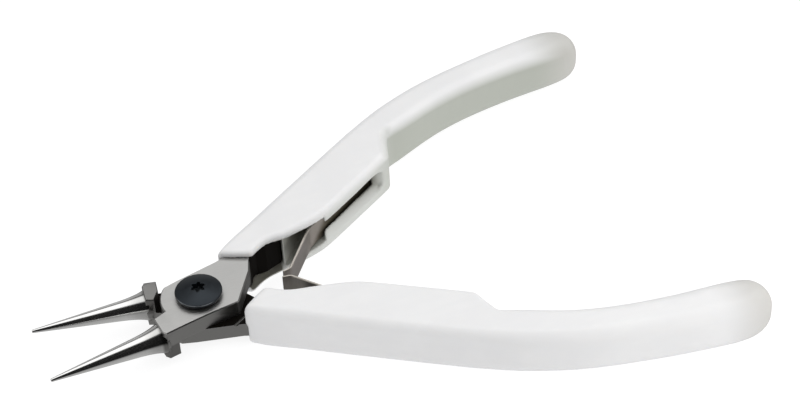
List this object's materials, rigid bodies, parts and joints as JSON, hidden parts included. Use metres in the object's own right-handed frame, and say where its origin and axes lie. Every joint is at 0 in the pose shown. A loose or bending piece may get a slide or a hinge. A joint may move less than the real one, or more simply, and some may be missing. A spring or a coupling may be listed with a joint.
{
  "type": "round nose pliers",
  "caption": "Small round nose pliers with a screwed lap joint, tapered round jaws, slim moulded grips and two leaf springs that hold the handles open.",
  "frame": {"origin": "on the pivot screw's axis, at the lap plane half way through the joint's thickness", "axes": "+X from the pivot towards the handles, the jaws point to -X; +Z along the pivot screw towards its head; +Y towards the handle of the upper half. The rest pose is the relaxed one, held open by the springs"},
  "size_m": [0.1161, 0.0834, 0.0096],
  "materials": {
    "ground_steel": "satin ground faces, polished round jaws",
    "grip_plastic": "fine satin moulded plastic",
    "spring_steel": "blued spring strip",
    "rivet_steel": "plain",
    "black_oxide": "black oxide, satin"
  },
  "bodies": {
    "upper_half": {"forged_half_upper": "ground_steel", "grip_upper": "grip_plastic", "spring_rivet_upper": "rivet_steel"},
    "lower_half": {"forged_half_lower": "ground_steel", "grip_lower": "grip_plastic", "spring_rivet_lower": "rivet_steel", "pivot_screw": "black_oxide"},
    "upper_spring": {"leaf_spring_upper": "spring_steel"},
    "lower_spring": {"leaf_spring_lower": "spring_steel"}
  },
  "joints": [
    {"name": "handle_pivot", "type": "hinge", "parent": "upper_half", "child": "lower_half", "pos_m": [0, 0, 0], "axis": [0, 0, 1], "range_deg": [-4, 24]},
    {"name": "upper_spring_flex", "type": "hinge", "parent": "upper_half", "child": "upper_spring", "pos_m": [0.0401, 0.02135, 0], "axis": [0, 0, 1], "range_deg": [-6.4, 1.1]},
    {"name": "lower_spring_flex", "type": "hinge", "parent": "lower_half", "child": "lower_spring", "pos_m": [0.0401, -0.02135, 0], "axis": [0, 0, 1], "range_deg": [-0.9, 5.2]}
  ],
  "couplings": [
    {"joint": "upper_spring_flex", "follows": "handle_pivot", "ratio": -0.262},
    {"joint": "lower_spring_flex", "follows": "handle_pivot", "ratio": 0.212}
  ]
}
